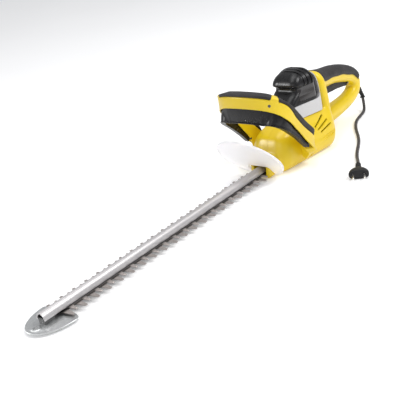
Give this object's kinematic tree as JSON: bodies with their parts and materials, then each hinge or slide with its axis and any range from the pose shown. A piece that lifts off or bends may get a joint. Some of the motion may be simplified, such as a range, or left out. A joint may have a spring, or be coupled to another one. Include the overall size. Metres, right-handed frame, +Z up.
{
  "type": "hedge trimmer",
  "caption": "Corded electric hedge trimmer with double-sided reciprocating blades, looped front handle, rear D handle, round hand guard and a short lead with plug.",
  "frame": {"origin": "on the flat underside of the body, under the motor shaft", "axes": "+X forward along the blades, +Y to the left, +Z up; the tool lies level on its flat base"},
  "size_m": [0.9492, 0.2685, 0.169],
  "materials": {
    "housing": "glossy moulded yellow",
    "cover": "semi-gloss black",
    "collar": "silver painted",
    "grip": "matt soft grip",
    "black_part": "fine textured black",
    "clear": "clear moulded sheet",
    "blade": "ground blade steel",
    "bar": "satin",
    "dark_steel": "blackened",
    "bright_steel": "turned",
    "laminate": "stacked sheet",
    "copper": "turned copper",
    "nylon": "natural",
    "brass": "nickel plated",
    "cord": "matt sheath"
  },
  "bodies": {
    "main": {"housing_left": "housing", "housing_right": "housing", "front_handle": "housing", "motor_cover": "cover", "collar": "collar", "crossbar_grip": "grip", "leg_grip_left": "grip", "leg_grip_right": "grip", "rear_grip": "grip", "cord_gland": "black_part", "plug_body": "black_part", "rear_switch": "black_part", "front_switch": "black_part", "hand_guard": "clear", "guide_bar": "bar", "tip_plate": "bar", "gear_case": "bar", "base_cover": "dark_steel", "blade_bolt_1": "dark_steel", "blade_bolt_2": "dark_steel", "blade_bolt_3": "dark_steel", "blade_bolt_4": "dark_steel", "tip_spacer": "dark_steel", "tip_screw": "dark_steel", "bar_pivot_left": "dark_steel", "bar_pivot_right": "dark_steel", "trigger_pivot": "dark_steel", "base_screw_1": "dark_steel", "base_screw_2": "dark_steel", "base_screw_3": "dark_steel", "base_screw_4": "dark_steel", "housing_screw_1": "dark_steel", "housing_screw_2": "dark_steel", "housing_screw_3": "dark_steel", "bearing_lower": "bright_steel", "bearing_upper": "bright_steel", "stator": "laminate", "capacitor": "nylon", "brush_holder_left": "brass", "brush_holder_right": "brass", "plug_pin_1": "brass", "plug_pin_2": "brass", "power_cord": "cord"},
    "rotor": {"motor_shaft": "bright_steel", "pinion": "dark_steel", "armature": "laminate", "commutator": "copper", "fan": "nylon"},
    "crank": {"gear_spindle": "dark_steel", "gear_wheel": "dark_steel", "eccentric_upper": "bright_steel", "eccentric_lower": "bright_steel"},
    "upper_blade": {"upper_blade": "blade"},
    "lower_blade": {"lower_blade": "blade"},
    "front_switch_bar": {"front_switch_bar": "cover", "bar_spring": "bright_steel"},
    "rear_trigger": {"rear_trigger": "grip", "trigger_spring": "bright_steel"}
  },
  "joints": [
    {"name": "crank_spin", "type": "hinge", "parent": "main", "child": "crank", "pos_m": [0.027, 0, 0.015], "axis": [0, 0, 1], "continuous": true},
    {"name": "motor_spin", "type": "hinge", "parent": "main", "child": "rotor", "pos_m": [0, 0, 0.015], "axis": [0, 0, 1], "continuous": true},
    {"name": "upper_blade_slide", "type": "slide", "parent": "main", "child": "upper_blade", "axis": [1, 0, 0], "range_m": [-0.0007, 0.0117]},
    {"name": "lower_blade_slide", "type": "slide", "parent": "main", "child": "lower_blade", "axis": [1, 0, 0], "range_m": [-0.0117, 0.0007]},
    {"name": "front_switch_press", "type": "hinge", "parent": "main", "child": "front_switch_bar", "pos_m": [0.08, 0, 0.051], "axis": [0, -1, 0], "range_deg": [0, 1.3], "stiffness_Nm_per_rad": 10, "springref_deg": -2.29, "deforming": ["bar_spring"]},
    {"name": "rear_trigger_press", "type": "hinge", "parent": "main", "child": "rear_trigger", "pos_m": [-0.181, 0, 0.0805], "axis": [0, -1, 0], "range_deg": [0, 4], "stiffness_Nm_per_rad": 2, "springref_deg": -5.73, "deforming": ["trigger_spring"]}
  ],
  "couplings": [
    {"joint": "motor_spin", "follows": "crank_spin", "ratio": -4.4},
    {"joint": "lower_blade_slide", "follows": "upper_blade_slide", "ratio": -1}
  ]
}
